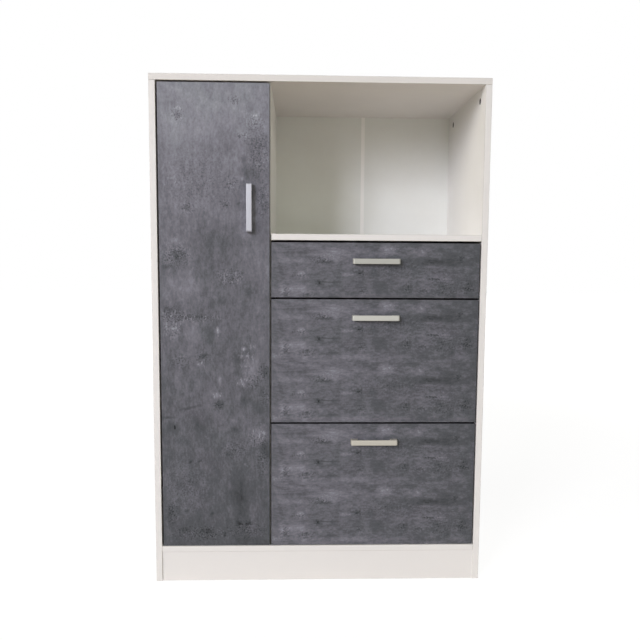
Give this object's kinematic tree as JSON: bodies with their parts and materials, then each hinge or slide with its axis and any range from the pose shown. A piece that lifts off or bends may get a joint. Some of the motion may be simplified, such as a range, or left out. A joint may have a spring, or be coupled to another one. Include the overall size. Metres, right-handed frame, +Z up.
{
  "type": "kitchen cabinet",
  "caption": "White board cabinet with a tall inset concrete-look door beside an open niche, and stacked pull-out drawers below the niche, all with bar handles.",
  "frame": {"origin": "on the floor, at the middle of the whole object's footprint with the handles included", "axes": "+Z up, the front with the door and drawers faces -Y, +X to the right seen from the front"},
  "size_m": [0.8, 0.399, 1.22],
  "materials": {
    "white_board": "melamine faced chipboard, matte white",
    "white_hardboard": "painted hardboard, matte white",
    "concrete_decor": "dark concrete print under a matte film",
    "satin_metal": "satin",
    "zinc_steel": "zinc plated",
    "cast_zinc": "dull cast zinc",
    "white_steel": "powder coated white",
    "white_plastic": "moulded white",
    "grey_plastic": "moulded grey",
    "clear_rubber": "translucent soft pad",
    "birch_dowel": "fluted birch"
  },
  "bodies": {
    "carcass": {"left_side_panel": "white_board", "right_side_panel": "white_board", "top_panel": "white_board", "bottom_panel": "white_board", "centre_divider": "white_board", "niche_shelf": "white_board", "plinth_board": "white_board", "back_sheet_left": "white_hardboard", "back_sheet_middle": "white_hardboard", "back_sheet_right": "white_hardboard", "back_joint_strip": "white_plastic", "back_nails": "zinc_steel", "lower_cupboard_shelf": "white_board", "upper_cupboard_shelf": "white_board", "shelf_pins": "zinc_steel", "cam_locks": "cast_zinc", "cam_bolts": "zinc_steel", "wooden_dowels": "birch_dowel", "foot_glides": "grey_plastic", "door_buffers": "clear_rubber", "carcass_screws": "zinc_steel", "hinge_plates": "zinc_steel", "hinge_arms": "zinc_steel", "cabinet_rails": "white_steel"},
    "door": {"door_panel": "concrete_decor", "door_handle": "satin_metal", "door_screws": "zinc_steel", "hinge_cups": "zinc_steel"},
    "hinge_outer_links": {"hinge_outer_links": "zinc_steel"},
    "hinge_inner_links": {"hinge_inner_links": "zinc_steel"},
    "top_drawer": {"top_drawer_front": "concrete_decor", "top_drawer_left_side": "white_board", "top_drawer_right_side": "white_board", "top_drawer_back": "white_board", "top_drawer_bottom": "white_hardboard", "top_drawer_handle": "satin_metal", "top_drawer_runners": "white_steel", "top_drawer_fasteners": "zinc_steel"},
    "top_drawer_cabinet_rollers": {"top_drawer_cabinet_rollers": "white_plastic"},
    "top_drawer_rear_rollers": {"top_drawer_rear_rollers": "white_plastic"},
    "middle_drawer": {"middle_drawer_front": "concrete_decor", "middle_drawer_left_side": "white_board", "middle_drawer_right_side": "white_board", "middle_drawer_back": "white_board", "middle_drawer_bottom": "white_hardboard", "middle_drawer_handle": "satin_metal", "middle_drawer_runners": "white_steel", "middle_drawer_fasteners": "zinc_steel"},
    "middle_drawer_cabinet_rollers": {"middle_drawer_cabinet_rollers": "white_plastic"},
    "middle_drawer_rear_rollers": {"middle_drawer_rear_rollers": "white_plastic"},
    "bottom_drawer": {"bottom_drawer_front": "concrete_decor", "bottom_drawer_left_side": "white_board", "bottom_drawer_right_side": "white_board", "bottom_drawer_back": "white_board", "bottom_drawer_bottom": "white_hardboard", "bottom_drawer_handle": "satin_metal", "bottom_drawer_runners": "white_steel", "bottom_drawer_fasteners": "zinc_steel"},
    "bottom_drawer_cabinet_rollers": {"bottom_drawer_cabinet_rollers": "white_plastic"},
    "bottom_drawer_rear_rollers": {"bottom_drawer_rear_rollers": "white_plastic"}
  },
  "joints": [
    {"name": "outer_link_turn", "type": "hinge", "parent": "carcass", "child": "hinge_outer_links", "pos_m": [-0.3384, -0.1583, 0.0915], "axis": [0, 0, -1], "range_deg": [0, 9]},
    {"name": "door_swing", "type": "hinge", "parent": "hinge_outer_links", "child": "door", "pos_m": [-0.35775, -0.17485, 0.0915], "axis": [0, 0, -1], "range_deg": [0, 91.1]},
    {"name": "inner_link_turn", "type": "hinge", "parent": "door", "child": "hinge_inner_links", "pos_m": [-0.36355, -0.17725, 0.0915], "axis": [0, 0, -1], "range_deg": [-52.2, 0]},
    {"name": "top_drawer_slide", "type": "slide", "parent": "carcass", "child": "top_drawer", "axis": [0, -1, 0], "range_m": [0, 0.26]},
    {"name": "top_drawer_cabinet_rollers_spin", "type": "hinge", "parent": "carcass", "child": "top_drawer_cabinet_rollers", "pos_m": [0.133, -0.1525, 0.7367], "axis": [1, 0, 0], "range_deg": [0, 1662]},
    {"name": "top_drawer_rear_rollers_spin", "type": "hinge", "parent": "top_drawer", "child": "top_drawer_rear_rollers", "pos_m": [0.133, 0.1635, 0.7345], "axis": [1, 0, 0], "range_deg": [0, 1662]},
    {"name": "middle_drawer_slide", "type": "slide", "parent": "carcass", "child": "middle_drawer", "axis": [0, -1, 0], "range_m": [0, 0.26]},
    {"name": "middle_drawer_cabinet_rollers_spin", "type": "hinge", "parent": "carcass", "child": "middle_drawer_cabinet_rollers", "pos_m": [0.133, -0.1525, 0.43295], "axis": [1, 0, 0], "range_deg": [0, 1662]},
    {"name": "middle_drawer_rear_rollers_spin", "type": "hinge", "parent": "middle_drawer", "child": "middle_drawer_rear_rollers", "pos_m": [0.133, 0.1635, 0.43075], "axis": [1, 0, 0], "range_deg": [0, 1662]},
    {"name": "bottom_drawer_slide", "type": "slide", "parent": "carcass", "child": "bottom_drawer", "axis": [0, -1, 0], "range_m": [0, 0.26]},
    {"name": "bottom_drawer_cabinet_rollers_spin", "type": "hinge", "parent": "carcass", "child": "bottom_drawer_cabinet_rollers", "pos_m": [0.133, -0.1525, 0.1242], "axis": [1, 0, 0], "range_deg": [0, 1662]},
    {"name": "bottom_drawer_rear_rollers_spin", "type": "hinge", "parent": "bottom_drawer", "child": "bottom_drawer_rear_rollers", "pos_m": [0.133, 0.1635, 0.122], "axis": [1, 0, 0], "range_deg": [0, 1662]}
  ],
  "couplings": [
    {"joint": "outer_link_turn", "follows": "door_swing", "ratio": 0.097695},
    {"joint": "inner_link_turn", "follows": "door_swing", "ratio": -0.5719},
    {"joint": "top_drawer_cabinet_rollers_spin", "follows": "top_drawer_slide", "rad_per_m": 111.11},
    {"joint": "top_drawer_rear_rollers_spin", "follows": "top_drawer_slide", "rad_per_m": 111.11},
    {"joint": "middle_drawer_cabinet_rollers_spin", "follows": "middle_drawer_slide", "rad_per_m": 111.11},
    {"joint": "middle_drawer_rear_rollers_spin", "follows": "middle_drawer_slide", "rad_per_m": 111.11},
    {"joint": "bottom_drawer_cabinet_rollers_spin", "follows": "bottom_drawer_slide", "rad_per_m": 111.11},
    {"joint": "bottom_drawer_rear_rollers_spin", "follows": "bottom_drawer_slide", "rad_per_m": 111.11}
  ]
}
